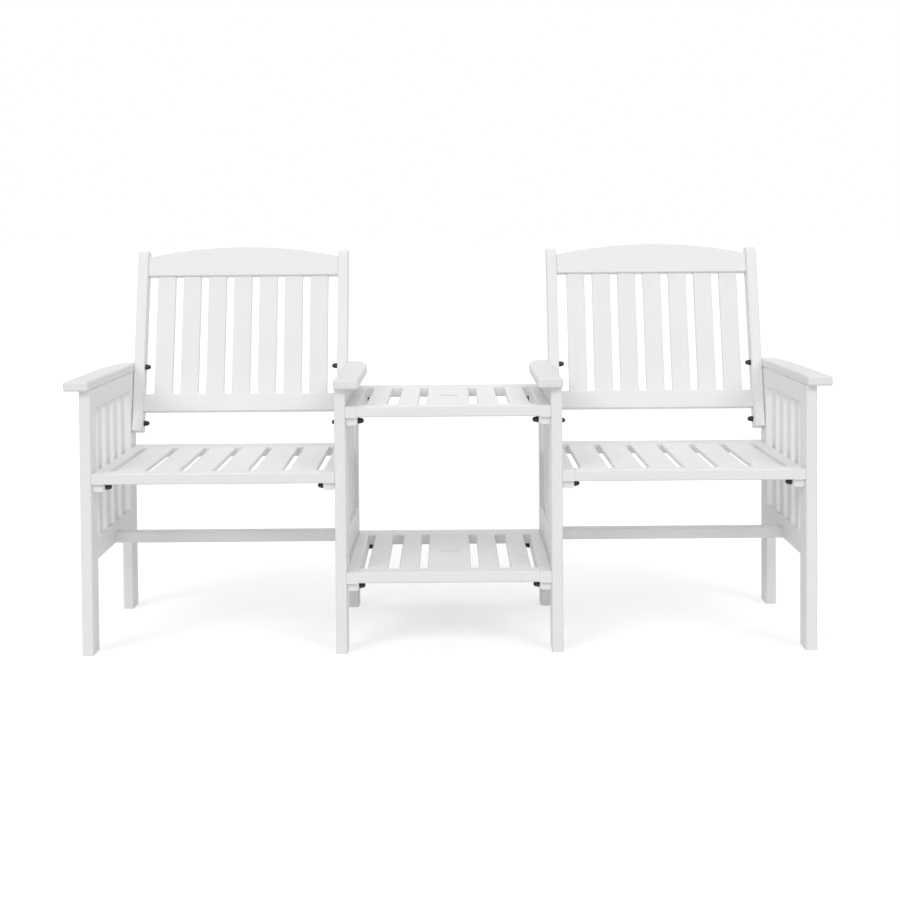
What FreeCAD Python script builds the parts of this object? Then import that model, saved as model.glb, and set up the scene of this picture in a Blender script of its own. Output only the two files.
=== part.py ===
"""Companion seat bench: two slatted armchairs joined by a table and a lower shelf, in painted timber.

Four slatted end frames stand on the ground. A seat hangs between each outer frame and its inner
frame, and the table and the shelf hang between the two inner frames. Each of these panels lies on
bearers that are bolted to the legs. Each reclined back is bolted to the rear legs and the armrests.

X runs along the bench, Y from front to back and Z up. The origin is on the ground, below the
middle of the whole object. All sizes are in millimetres and degrees.
"""
import FreeCAD, Part
import os

import Sketcher

Vector = FreeCAD.Vector
Rotation = FreeCAD.Rotation

# Driving sizes: the alias of the cell, its value and what it measures

SIZES = [
    ("seat_clear", 540, "clear width of each seat between its end frames"),
    ("table_clear", 456, "clear width between the two inner frames"),
    ("frame_depth", 506, "front of the front legs to the back of the rear legs"),
    ("leg_thick", 25, "thickness of a leg along the bench"),
    ("leg_width", 62, "width of a leg from front to back"),
    ("arris", 2, "bevel on the long edges of the boards"),
    ("joint_gap", 0.2, "play round a tenon or a let-in slat"),
    ("mortise_spare", 1, "room beyond the end of a tenon, slat or bolt"),
    ("tenon_length", 12, "how far a rail's tenon goes in"),
    ("tenon_thick", 10, "thickness of a rail's tenon"),
    ("tenon_shoulder", 6, "shoulder above and below a tenon"),
    ("side_rail_thick", 25, "thickness of an end frame's rails"),
    ("upper_rail_height", 45, "height of the rail under the armrest"),
    ("lower_rail_height", 49, "height of the low rail of an end frame"),
    ("lower_rail_up", 204, "ground to the underside of the low rail"),
    ("side_slat_width", 40, "width of an end frame's slat"),
    ("side_slat_thick", 12, "thickness of an end frame's slat"),
    ("side_slat_count", 4, "slats in an end frame"),
    ("slat_let_in", 10, "how far an upright slat goes into its rails"),
    ("arm_width", 56, "width of an armrest"),
    ("arm_thick", 21, "thickness of an armrest"),
    ("arm_nose", 20, "overhang of an armrest at the front"),
    ("arm_tail", 10, "overhang of an armrest at the back"),
    ("arm_lap", 1, "overhang of an armrest on the seat side"),
    ("arm_sweep_length", 176, "length of the swept part of an armrest, at its back"),
    ("arm_tail_width", 36.4, "width that the sweep leaves at the back end"),
    ("arm_corner", 32, "radius of the outer corner at the back"),
    ("arm_front_corner", 3, "bevel of the two front corners"),
    ("arm_bevel", 3, "bevel round the top and the underside of an armrest"),
    ("seat_height", 406, "ground to the top of the seats"),
    ("table_rise", 146, "top of the seats up to the top of the table"),
    ("leg_rise", 40, "top of the table up to the top of the legs"),
    ("shelf_height", 182, "ground to the top of the shelf"),
    ("panel_thick", 24, "thickness of the rails of a seat or table"),
    ("front_rail_width", 46, "width of a panel's front rail"),
    ("rear_rail_width", 66, "width of a panel's rear rail"),
    ("seat_side", 29, "width of a seat's side board"),
    ("seat_gap", 15, "gap between seat slats"),
    ("seat_slat_count", 6, "slats in a seat"),
    ("table_side", 26.5, "width of the side board of the table or shelf"),
    ("side_drop", 2, "extra depth of those side boards"),
    ("table_gap_side", 17, "gap between a side board and the next slat"),
    ("table_gap_mid", 25, "gap between two slats of the table or shelf"),
    ("table_gap_centre", 18.5, "gap between the middle board and the next slat"),
    ("table_centre", 98, "width of the board in the middle"),
    ("slat_thick", 12, "thickness of the flat slats"),
    ("tongue_length", 10, "length of a flat slat's tongue"),
    ("tongue_thick", 6, "thickness of a flat slat's tongue"),
    ("tongue_shoulder", 4, "shoulder at each side of that tongue"),
    ("bearer_width", 26, "width of a bearer under a panel"),
    ("bearer_height", 17, "height of a bearer"),
    ("bearer_inset", 8, "bearer's ends to the front and back faces"),
    ("bearer_bevel", 4, "bevel along a bearer's lower edges"),
    ("stretcher_front", 245, "front of the legs to the front of a stretcher"),
    ("stretcher_depth", 38, "depth of a stretcher"),
    ("stretcher_thick", 25, "height of a stretcher's section"),
    ("stretcher_rise", 1, "underside of the low rail up to that of a stretcher"),
    ("stub_length", 8, "tenon of a stretcher in the low side rail"),
    ("recline", 15.3, "lean of the backs from upright, in degrees"),
    ("post_clear", 43, "top of the seat up to the foot of a back post"),
    ("post_length", 467, "length of a back post"),
    ("post_width", 26, "width of a back post"),
    ("post_depth", 42, "depth of a back post"),
    ("post_brow", 20, "rounding at the top of a post, in front"),
    ("post_crown", 8, "rounding at the top of a post, behind"),
    ("rail_recess", 6, "back rails behind the front of the posts"),
    ("back_rail_thick", 25, "thickness of a back's rails"),
    ("low_rail_up", 48, "post's foot to the low back rail"),
    ("low_rail_height", 45, "height of the low back rail"),
    ("top_rail_drop", 18.5, "top of a post down to the end of the top rail"),
    ("top_rail_height", 50, "height of the top rail at its ends"),
    ("top_rail_rise", 26, "how much higher the top rail is in the middle"),
    ("back_slat_width", 46, "width of a back slat"),
    ("back_slat_thick", 12, "thickness of a back slat"),
    ("back_end_gap", 25, "gap between a post and the next back slat"),
    ("back_slat_count", 7, "slats in a back"),
    ("bolt_radius", 4, "radius of the bolts"),
    ("bolt_play", 0.25, "play of a bolt in its hole"),
    ("bolt_head_radius", 7.5, "radius of a bolt's flat head"),
    ("head_thick", 2, "thickness of a bolt's or a screw's flat head"),
    ("head_recess", 2.5, "depth of the recess that a head sits in"),
    ("nut_grip", 8, "how far a bolt goes into its cap nut"),
    ("nut_across", 13, "width of a cap nut across its flats"),
    ("nut_height", 14, "height of a cap nut"),
    ("nut_base", 6, "height of the hexagonal part of a cap nut"),
    ("nut_bevel", 3.5, "bevel that makes the dome of a cap nut"),
    ("low_bolt_rise", 14, "foot of a back post up to its lower bolt"),
    ("low_bolt_back", 29, "rear leg's front face to that bolt"),
    ("arm_bolt_back", 59, "rear leg's front face to the bolt through an armrest"),
    ("arm_bolt_bite", 22, "how far that bolt is screwed into the armrest"),
    ("screw_radius", 3, "radius of a stretcher screw"),
    ("screw_bite", 40, "length of a stretcher screw beyond the rail"),
    ("screw_head_radius", 6, "radius of a stretcher screw's head"),
    ("hole_radius", 19.5, "radius of the parasol hole"),
    ("cap_radius", 22, "radius of the cap over the parasol hole"),
    ("cap_thick", 2, "thickness of that cap's rim"),
    ("cap_skirt", 10, "depth of the cap's skirt in the hole"),
    ("cap_wall", 2, "wall of the cap's skirt"),
    ("cap_play", 0.3, "play between the skirt and the hole"),
]
SHANK_FACE_COUNT = 6  # of a bolt's shank and of its hole, which are never seen
HEAD_FACE_COUNT = 8
DOME_FACE_COUNT = 6
CAP_FACE_COUNT = 24
HEXAGON_FACE_COUNT = 6
CLOSE = 1e-6

doc = FreeCAD.newDocument("companion_seat_bench")
sizes = doc.addObject("Spreadsheet::Sheet", "sizes")
for row, (alias, value, meaning) in enumerate(SIZES, start=1):
    sizes.set(f"A{row}", meaning)
    sizes.set(f"B{row}", str(value))
    sizes.setAlias(f"B{row}", alias)
doc.recompute()


def number(expression):
    """The value of an expression on the sheet's cells."""
    return float(sizes.evalExpression(expression))


# Places and lengths worked out from the sheet, as expressions

REACH = (
    "(sizes.frame_depth - sizes.leg_width"
    " + (sizes.post_length - sizes.post_crown) * sin(sizes.recline)"
    " + (sizes.post_depth - sizes.post_crown) * cos(sizes.recline) + sizes.post_crown)"
)
FRONT = f"((sizes.arm_nose - {REACH}) / 2)"
REAR_LEG = f"({FRONT} + sizes.frame_depth - sizes.leg_width)"
BETWEEN_LEGS = "(sizes.frame_depth - 2 * sizes.leg_width)"
LEG_MIDDLE = "(sizes.leg_width / 2)"
INNER_FACE = "(sizes.table_clear / 2)"
SEAT_START = "(sizes.table_clear / 2 + sizes.leg_thick)"
SEAT_END = "(sizes.table_clear / 2 + sizes.leg_thick + sizes.seat_clear)"
TABLE_TOP = "(sizes.seat_height + sizes.table_rise)"
LEG_HEIGHT = f"({TABLE_TOP} + sizes.leg_rise)"
UPPER_RAIL_UP = f"({LEG_HEIGHT} - sizes.upper_rail_height)"
LOWER_RAIL_TOP = "(sizes.lower_rail_up + sizes.lower_rail_height)"
SIDE_SLAT_GAP = (
    f"(({BETWEEN_LEGS} - sizes.side_slat_count * sizes.side_slat_width) / (sizes.side_slat_count + 1))"
)
SIDE_SLAT_PITCH = f"({SIDE_SLAT_GAP} + sizes.side_slat_width)"
ARM_LENGTH = "(sizes.arm_nose + sizes.frame_depth + sizes.arm_tail)"
SEAT_SLAT = (
    "((sizes.seat_clear - 2 * sizes.seat_side - (sizes.seat_slat_count + 1) * sizes.seat_gap)"
    " / sizes.seat_slat_count)"
)
FLAT_SLAT_LENGTH = "(sizes.frame_depth - sizes.front_rail_width - sizes.rear_rail_width)"
TABLE_HALF = "((sizes.table_clear - sizes.table_centre) / 2 - sizes.table_side)"
TABLE_GAPS = "(sizes.table_gap_side + sizes.table_gap_mid + sizes.table_gap_centre)"
TABLE_SLAT = f"(({TABLE_HALF} - {TABLE_GAPS}) / 2)"
TABLE_PITCH = f"({TABLE_SLAT} + sizes.table_gap_mid)"
SEAT_BOLT = "(sizes.seat_height - sizes.panel_thick - sizes.bearer_height / 2)"
TABLE_BOLT = f"({TABLE_TOP} - sizes.panel_thick - sizes.side_drop - sizes.bearer_height / 2)"
SHELF_BOLT = "(sizes.shelf_height - sizes.panel_thick - sizes.side_drop - sizes.bearer_height / 2)"
STRETCHER_UP = "(sizes.lower_rail_up + sizes.stretcher_rise)"
POST_FOOT = "(sizes.seat_height + sizes.post_clear)"
LOW_BOLT = f"({POST_FOOT} + sizes.low_bolt_rise)"
ARM_BOLT = f"({LEG_HEIGHT} + sizes.arm_thick / 2)"
POST_OUTER = "(sizes.seat_clear / 2 - sizes.arm_lap)"
BACK_HALF = f"({POST_OUTER} - sizes.post_width)"
LOW_RAIL_TOP = "(sizes.low_rail_up + sizes.low_rail_height)"
TOP_RAIL_UP = "(sizes.post_length - sizes.top_rail_drop - sizes.top_rail_height)"
BACK_TENON_DEEP = "(sizes.rail_recess + (sizes.back_rail_thick - sizes.tenon_thick) / 2)"
BACK_SLAT_DEEP = "(sizes.rail_recess + (sizes.back_rail_thick - sizes.back_slat_thick) / 2)"
BACK_SLAT_START = f"(sizes.back_end_gap - {BACK_HALF})"
BACK_SLAT_PITCH = f"(-(2 * {BACK_SLAT_START} + sizes.back_slat_width) / (sizes.back_slat_count - 1))"
MORTISE_THICK = "(sizes.tenon_thick + 2 * sizes.joint_gap)"
MORTISE_DEPTH = "(sizes.tenon_length + sizes.mortise_spare)"
MORTISE_CUT_BACK = "(2 * sizes.tenon_shoulder - 2 * sizes.joint_gap)"
MORTISE_EDGE = "(sizes.tenon_shoulder - sizes.joint_gap)"
SLAT_MORTISE_DEPTH = "(sizes.slat_let_in + sizes.mortise_spare)"

HERE = ("0", "0", "0")
UPRIGHT = Rotation()
TOWARDS_RIGHT = Rotation(Vector(0, 1, 0), 90)
TOWARDS_LEFT = Rotation(Vector(0, 1, 0), -90)
TURNED_OVER = Rotation(Vector(0, 1, 0), 180)
subparts = []


# Ways to make and place things


def bind(thing, **properties):
    for name, expression in properties.items():
        thing.setExpression(name, expression)


def place(thing, at, turn=UPRIGHT):
    """Put a thing at three expressions, turned as given."""
    thing.Placement = FreeCAD.Placement(Vector(), turn)
    for axis, expression in zip("xyz", at):
        thing.setExpression(f"Placement.Base.{axis}", expression)


def new_body(label, at, turn=UPRIGHT):
    body = doc.addObject("PartDesign::Body", label)
    body.Label = label
    place(body, at, turn)
    subparts.append(body)
    return body


def body_in_back(label, middle):
    """A body on the leaning plane of a back: its Z runs along the posts and its Y into them."""
    body = new_body(label, (middle, REAR_LEG, POST_FOOT), Rotation(Vector(1, 0, 0), 1))
    body.setExpression("Placement.Rotation.Angle", "-sizes.recline")
    return body


def origin_part(body, role):
    return next(item for item in body.Origin.OriginFeatures if item.Role == role)


def feature(body, kind, name):
    """A new feature at the end of a body."""
    made = body.newObject("PartDesign::" + kind, f"{body.Name}_{name}")
    body.Tip = made
    return made


def box(body, name, size, at=HERE, kind="AdditiveBox"):
    made = feature(body, kind, name)
    bind(made, Length=size[0], Width=size[1], Height=size[2])
    place(made, at)
    return made


def cut_box(body, name, size, at):
    return box(body, name, size, at, "SubtractiveBox")


def runs_along(axis):
    """Picks the edges that are parallel to one axis."""
    others = [index for index in range(3) if index != "xyz".index(axis)]
    return lambda start, end: all(abs(start[i] - end[i]) < CLOSE for i in others)


def edges_where(base, wanted):
    """Names of the edges of a feature whose two end points fit."""
    doc.recompute()
    return [
        f"Edge{index}"
        for index, edge in enumerate(base.Shape.Edges, start=1)
        if len(edge.Vertexes) == 2 and wanted(edge.Vertexes[0].Point, edge.Vertexes[1].Point)
    ]


def bevel(body, name, wanted, size):
    base = body.Tip
    edges = edges_where(base, wanted)
    made = feature(body, "Chamfer", name)
    made.Base = (base, edges)
    bind(made, Size=size)


def fillet(body, name, wanted, radius):
    base = body.Tip
    edges = edges_where(base, wanted)
    made = feature(body, "Fillet", name)
    made.Base = (base, edges)
    bind(made, Radius=radius)


def board(body, size, grain, at=HERE):
    """Give a body a board with bevels on the four edges along its grain."""
    box(body, "blank", size, at)
    bevel(body, "arrises", runs_along(grain), "sizes.arris")
    return body


def cut_hole(body, name, length, at, radius):
    """A hole along X for the shank of a bolt or a screw."""
    made = feature(body, "SubtractivePrism", name)
    made.Polygon = SHANK_FACE_COUNT
    flat_radius = f"{radius} + sizes.bolt_play"
    bind(made, Circumradius=f"({flat_radius}) / cos(180 / {SHANK_FACE_COUNT})", Height=length)
    place(made, at, TOWARDS_RIGHT)


def cut_recess(body, name, depth, at, radius):
    """The recess along X that the head of a bolt or a screw sits in."""
    made = feature(body, "SubtractivePrism", name)
    made.Polygon = HEAD_FACE_COUNT
    bind(made, Circumradius=f"{radius} + sizes.bolt_play", Height=depth)
    place(made, at, TOWARDS_RIGHT)


def cut_headed_hole(body, name, thick, at, head_low, radius, head_radius):
    """A hole right through a board along X, with a recess on its low or its high side."""
    cut_hole(body, f"{name}_hole", thick, at, radius)
    recess_x = at[0] if head_low else f"{at[0]} + {thick} - sizes.head_recess"
    cut_recess(body, f"{name}_recess", "sizes.head_recess", (recess_x, *at[1:]), head_radius)


def repeat(body, name, axis, pitch, count, originals=None):
    """Repeat some features along an axis, or the whole body as separate pieces."""
    made = feature(body, "LinearPattern", name)
    if originals is None:
        made.TransformMode = "Whole shape"
    else:
        made.Originals = originals
    made.Direction = (origin_part(body, axis), [""])
    made.Mode = "Spacing"
    bind(made, Offset=pitch, Occurrences=count)


def add_mirror_image(body):
    """Add the body's mirror image on the other side of its own X = 0, as a separate piece."""
    made = feature(body, "Mirrored", "pair")
    made.TransformMode = "Whole shape"
    made.MirrorPlane = (origin_part(body, "YZ_Plane"), [""])


def bulging_arc(start, end, radius):
    """The short arc from start to end, counter-clockwise about a centre on its left."""
    chord = end - start
    inward = Vector(-chord.y, chord.x, 0).normalize()
    centre = (start + end) / 2 + inward * (radius**2 - (chord.Length / 2) ** 2) ** 0.5
    circle = Part.Circle(centre, Vector(0, 0, 1), radius)
    return Part.ArcOfCircle(circle, circle.parameter(start), circle.parameter(end))


def outline(body, plane, corners, arc_after=None, arc_radius=None):
    """A closed sketch through corners in counter-clockwise order, each a pair of expressions.

    The side that leaves the corner numbered arc_after is an arc that bulges outwards.
    """
    sketch = body.newObject("Sketcher::SketchObject", f"{body.Name}_outline")
    sketch.AttachmentSupport = (origin_part(body, plane), [""])
    sketch.MapMode = "FlatFace"
    points = [Vector(number(across), number(along), 0) for across, along in corners]
    for index, start in enumerate(points):
        end = points[(index + 1) % len(points)]
        if index == arc_after:
            sketch.addGeometry(bulging_arc(start, end, number(arc_radius)), False)
        else:
            sketch.addGeometry(Part.LineSegment(start, end), False)
    for index in range(len(points)):
        following = (index + 1) % len(points)
        sketch.addConstraint(Sketcher.Constraint("Coincident", index, 2, following, 1))
    for index, (across, along) in enumerate(corners):
        for kind, expression in (("DistanceX", across), ("DistanceY", along)):
            held = Sketcher.Constraint(kind, -1, 1, index, 1, number(expression))
            sketch.renameConstraint(sketch.addConstraint(held), f"{kind}{index}")
            sketch.setExpression(f"Constraints.{kind}{index}", expression)
    if arc_after is not None:
        held = Sketcher.Constraint("Radius", arc_after, number(arc_radius))
        sketch.renameConstraint(sketch.addConstraint(held), "sweep")
        sketch.setExpression("Constraints.sweep", arc_radius)
    return sketch


def pad(body, sketch, thick, backwards=False):
    made = feature(body, "Pad", "slab")
    made.Profile = sketch
    made.Reversed = backwards
    bind(made, Length=thick)


def copies(label, pattern, places):
    """Separate pieces of one pattern, each at its place and turn, kept together as one sub-part."""
    links = []
    for index, (at, turn) in enumerate(places):
        link = doc.addObject("App::Link", f"{label}_{index}")
        link.LinkedObject = pattern
        link.LinkTransform = False
        place(link, at, turn)
        links.append(link)
    group = doc.addObject("Part::Compound", label)
    group.Label = label
    group.Links = links
    subparts.append(group)


# End frames: two legs, two rails, four upright slats and an armrest


def leg(label, low_x, y, mortise_y, bolts):
    """A leg with mortises for the side rails.

    bolts gives each bolt's place along Y and Z, and whether its head is on the low side of X.
    """
    size = ("sizes.leg_thick", "sizes.leg_width", LEG_HEIGHT)
    made = board(new_body(label, (low_x, y, "0")), size, "z")
    rails = (
        ("upper", UPPER_RAIL_UP, "sizes.upper_rail_height"),
        ("lower", "sizes.lower_rail_up", "sizes.lower_rail_height"),
    )
    for name, up, height in rails:
        cut_box(
            made,
            f"{name}_mortise",
            (MORTISE_THICK, MORTISE_DEPTH, f"{height} - {MORTISE_CUT_BACK}"),
            (f"(sizes.leg_thick - {MORTISE_THICK}) / 2", mortise_y, f"{up} + {MORTISE_EDGE}"),
        )
    for index, (bolt_y, bolt_z, head_low) in enumerate(bolts):
        at = ("0", bolt_y, bolt_z)
        head = "sizes.bolt_head_radius"
        cut_headed_hole(made, f"bolt_{index}", "sizes.leg_thick", at, head_low, "sizes.bolt_radius", head)


def side_rail(label, low_x, up, height, slat_mortise_up):
    """A rail between two legs, with tenons for them and mortises for the four slats."""
    made = new_body(label, (low_x, f"{FRONT} + sizes.leg_width", up))
    board(made, ("sizes.side_rail_thick", BETWEEN_LEGS, height), "y")
    box(
        made,
        "tenons",
        (
            "sizes.tenon_thick",
            f"{BETWEEN_LEGS} + 2 * sizes.tenon_length",
            f"{height} - 2 * sizes.tenon_shoulder",
        ),
        ("(sizes.side_rail_thick - sizes.tenon_thick) / 2", "-sizes.tenon_length", "sizes.tenon_shoulder"),
    )
    mortise_thick = "(sizes.side_slat_thick + 2 * sizes.joint_gap)"
    mortise = cut_box(
        made,
        "slat_mortise",
        (mortise_thick, "sizes.side_slat_width + 2 * sizes.joint_gap", SLAT_MORTISE_DEPTH),
        (
            f"(sizes.side_rail_thick - {mortise_thick}) / 2",
            f"{SIDE_SLAT_GAP} - sizes.joint_gap",
            slat_mortise_up,
        ),
    )
    repeat(made, "slat_mortises", "Y_Axis", SIDE_SLAT_PITCH, "sizes.side_slat_count", [mortise])
    return made


def cut_stretcher_joint(rail, seat_on_right):
    """The mortise for a stretcher's stub tenon and the hole for the screw behind it."""
    depth = "(sizes.stub_length + sizes.mortise_spare)"
    y = "(sizes.stretcher_front - sizes.leg_width)"
    cut_box(
        rail,
        "stretcher_mortise",
        (depth, f"sizes.stretcher_depth - {MORTISE_CUT_BACK}", MORTISE_THICK),
        (
            f"sizes.side_rail_thick - {depth}" if seat_on_right else "0",
            f"{y} + {MORTISE_EDGE}",
            f"sizes.stretcher_rise + (sizes.stretcher_thick - {MORTISE_THICK}) / 2",
        ),
    )
    at = ("0", f"{y} + sizes.stretcher_depth / 2", "sizes.stretcher_rise + sizes.stretcher_thick / 2")
    head = "sizes.screw_head_radius"
    cut_headed_hole(rail, "screw", "sizes.side_rail_thick", at, seat_on_right, "sizes.screw_radius", head)


def side_slats(label, low_x):
    """The four upright slats of an end frame, with their ends let into its rails."""
    made = new_body(
        label,
        (
            f"{low_x} + (sizes.side_rail_thick - sizes.side_slat_thick) / 2",
            f"{FRONT} + sizes.leg_width + {SIDE_SLAT_GAP}",
            f"{LOWER_RAIL_TOP} - sizes.slat_let_in",
        ),
    )
    length = f"{UPPER_RAIL_UP} - {LOWER_RAIL_TOP} + 2 * sizes.slat_let_in"
    board(made, ("sizes.side_slat_thick", "sizes.side_slat_width", length), "z")
    repeat(made, "row", "Y_Axis", SIDE_SLAT_PITCH, "sizes.side_slat_count")


def armrest(label, seat_edge, turned_over):
    """An armrest, straight in front and swept inwards to a round corner behind.

    All four are cut to one outline, and two of them are turned over.
    """
    height = f"{LEG_HEIGHT} + sizes.arm_thick" if turned_over else LEG_HEIGHT
    turn = TURNED_OVER if turned_over else UPRIGHT
    made = new_body(label, (seat_edge, f"{FRONT} - sizes.arm_nose", height), turn)
    swept = "sizes.arm_sweep_length"
    narrowing = "(sizes.arm_width - sizes.arm_tail_width)"
    corners = [
        ("0", "0"),
        ("sizes.arm_width", "0"),
        ("sizes.arm_width", f"{ARM_LENGTH} - {swept}"),
        ("sizes.arm_tail_width", ARM_LENGTH),
        ("0", ARM_LENGTH),
    ]
    sweep_radius = f"(({swept} ^ 2 + {narrowing} ^ 2) / (2 * {narrowing}))"
    sketch = outline(made, "XY_Plane", corners, 2, sweep_radius)
    pad(made, sketch, "sizes.arm_thick")
    upright = runs_along("z")
    tail = number(ARM_LENGTH) - CLOSE

    def outer_tail_corner(start, end):
        return upright(start, end) and start.y > tail and start.x > CLOSE

    def front_corner(start, end):
        return upright(start, end) and start.y < CLOSE

    def on_a_face(start, end):
        return abs(start.z - end.z) < CLOSE

    fillet(made, "tail_corner", outer_tail_corner, "sizes.arm_corner")
    bevel(made, "front_corners", front_corner, "sizes.arm_front_corner")
    bevel(made, "eased", on_a_face, "sizes.arm_bevel")
    bolt_y = "sizes.arm_nose + sizes.frame_depth - sizes.leg_width + sizes.arm_bolt_back"
    depth = "sizes.arm_bolt_bite + sizes.mortise_spare"
    cut_hole(made, "bolt_hole", depth, ("0", bolt_y, "sizes.arm_thick / 2"), "sizes.bolt_radius")


def end_frame(name, low_x, seat_on_right, inner):
    """One end frame; low_x is the lower X of its boards."""
    bolts = [(LEG_MIDDLE, SEAT_BOLT, seat_on_right)]
    if inner:
        bolts += [(LEG_MIDDLE, height, not seat_on_right) for height in (TABLE_BOLT, SHELF_BOLT)]
    leg(f"{name}_front_leg", low_x, FRONT, f"sizes.leg_width - {MORTISE_DEPTH}", bolts)
    back_bolt = ("sizes.low_bolt_back", LOW_BOLT, seat_on_right)
    leg(f"{name}_rear_leg", low_x, REAR_LEG, "0", bolts + [back_bolt])
    side_rail(f"{name}_upper_rail", low_x, UPPER_RAIL_UP, "sizes.upper_rail_height", "0")
    mortise_up = f"sizes.lower_rail_height - {SLAT_MORTISE_DEPTH}"
    low = side_rail(
        f"{name}_lower_rail", low_x, "sizes.lower_rail_up", "sizes.lower_rail_height", mortise_up
    )
    cut_stretcher_joint(low, seat_on_right)
    side_slats(f"{name}_slats", low_x)
    seat_edge = f"{low_x} - sizes.arm_lap"
    if seat_on_right:
        seat_edge = f"{low_x} + sizes.leg_thick + sizes.arm_lap"
    armrest(f"{name}_armrest", seat_edge, seat_on_right)


# Seats, table and shelf: side boards, rails and flat slats


def panel_rail(label, length, width, at, in_front, slats):
    """A rail between two side boards; slats gives the start and the width of each slat."""
    made = board(new_body(label, at), (length, width, "sizes.panel_thick"), "x")
    box(
        made,
        "tenons",
        (
            f"{length} + 2 * sizes.tenon_length",
            f"{width} - 2 * sizes.tenon_shoulder",
            "sizes.tenon_thick",
        ),
        ("-sizes.tenon_length", "sizes.tenon_shoulder", "(sizes.panel_thick - sizes.tenon_thick) / 2"),
    )
    depth = "(sizes.tongue_length + sizes.mortise_spare)"
    thick = "(sizes.tongue_thick + 2 * sizes.joint_gap)"
    edge = "(sizes.tongue_shoulder - sizes.joint_gap)"
    for index, (start, slat_width) in enumerate(slats):
        cut_box(
            made,
            f"slat_mortise_{index}",
            (f"{slat_width} - 2 * {edge}", depth, thick),
            (
                f"{start} + {edge}",
                f"{width} - {depth}" if in_front else "0",
                f"sizes.panel_thick - (sizes.slat_thick + {thick}) / 2",
            ),
        )


def side_boards(label, middle, clear, side, top, drop):
    """The two side boards of a panel, with mortises for its front and rear rails."""
    height = f"(sizes.panel_thick + {drop})"
    start = f"(-{clear} / 2)"
    made = new_body(label, (middle, FRONT, f"{top} - {height}"))
    board(made, (side, "sizes.frame_depth", height), "y", (start, "0", "0"))
    rails = (
        ("front", "0", "sizes.front_rail_width"),
        ("rear", "(sizes.frame_depth - sizes.rear_rail_width)", "sizes.rear_rail_width"),
    )
    for name, y, width in rails:
        cut_box(
            made,
            f"{name}_mortise",
            (MORTISE_DEPTH, f"{width} - {MORTISE_CUT_BACK}", MORTISE_THICK),
            (
                f"{start} + {side} - {MORTISE_DEPTH}",
                f"{y} + {MORTISE_EDGE}",
                f"{drop} + (sizes.panel_thick - {MORTISE_THICK}) / 2",
            ),
        )
    add_mirror_image(made)


def panel_frame(name, middle, clear, side, top, drop, slats):
    """The side boards and the rails of a panel."""
    side_boards(f"{name}_side_boards", middle, clear, side, top, drop)
    length = f"({clear} - 2 * {side})"
    x = f"{middle} - {length} / 2"
    up = f"{top} - sizes.panel_thick"
    panel_rail(f"{name}_front_rail", length, "sizes.front_rail_width", (x, FRONT, up), True, slats)
    rear_y = f"{FRONT} + sizes.frame_depth - sizes.rear_rail_width"
    panel_rail(f"{name}_rear_rail", length, "sizes.rear_rail_width", (x, rear_y, up), False, slats)


def flat_slat(label, middle, x, width, top):
    """A flat slat with a thin tongue at each end; x is its left edge seen from the middle."""
    made = new_body(label, (middle, f"{FRONT} + sizes.front_rail_width", f"{top} - sizes.slat_thick"))
    board(made, (width, FLAT_SLAT_LENGTH, "sizes.slat_thick"), "y", (x, "0", "0"))
    box(
        made,
        "tongues",
        (
            f"{width} - 2 * sizes.tongue_shoulder",
            f"{FLAT_SLAT_LENGTH} + 2 * sizes.tongue_length",
            "sizes.tongue_thick",
        ),
        (
            f"{x} + sizes.tongue_shoulder",
            "-sizes.tongue_length",
            "(sizes.slat_thick - sizes.tongue_thick) / 2",
        ),
    )
    return made


def seat(name, middle):
    pitch = f"({SEAT_SLAT} + sizes.seat_gap)"
    count = int(number("sizes.seat_slat_count"))
    slats = [(f"sizes.seat_gap + {index} * {pitch}", SEAT_SLAT) for index in range(count)]
    panel_frame(name, middle, "sizes.seat_clear", "sizes.seat_side", "sizes.seat_height", "0", slats)
    first = "(sizes.seat_side + sizes.seat_gap - sizes.seat_clear / 2)"
    made = flat_slat(f"{name}_slats", middle, first, SEAT_SLAT, "sizes.seat_height")
    repeat(made, "row", "X_Axis", pitch, "sizes.seat_slat_count")


def table(name, top):
    """The table top or the shelf: four narrow slats and a wide board with the parasol hole."""
    between_sides = "(sizes.table_clear - 2 * sizes.table_side)"
    inner = f"(sizes.table_gap_side + {TABLE_PITCH})"
    narrow = TABLE_SLAT
    slats = [
        ("sizes.table_gap_side", narrow),
        (inner, narrow),
        (f"({between_sides} - sizes.table_centre) / 2", "sizes.table_centre"),
        (f"{between_sides} - {inner} - {narrow}", narrow),
        (f"{between_sides} - sizes.table_gap_side - {narrow}", narrow),
    ]
    panel_frame(name, "0", "sizes.table_clear", "sizes.table_side", top, "sizes.side_drop", slats)
    first = "(sizes.table_side + sizes.table_gap_side - sizes.table_clear / 2)"
    made = flat_slat(f"{name}_slats", "0", first, narrow, top)
    repeat(made, "side_pair", "X_Axis", TABLE_PITCH, "2")
    add_mirror_image(made)
    wide = flat_slat(f"{name}_centre_board", "0", "(-sizes.table_centre / 2)", "sizes.table_centre", top)
    hole = feature(wide, "SubtractivePrism", "parasol_hole")
    hole.Polygon = CAP_FACE_COUNT
    bind(hole, Circumradius="sizes.hole_radius", Height="sizes.slat_thick")
    place(hole, ("0", f"{FLAT_SLAT_LENGTH} / 2", "0"))
    hole_cap(f"{name}_hole_cap", top)


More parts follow.
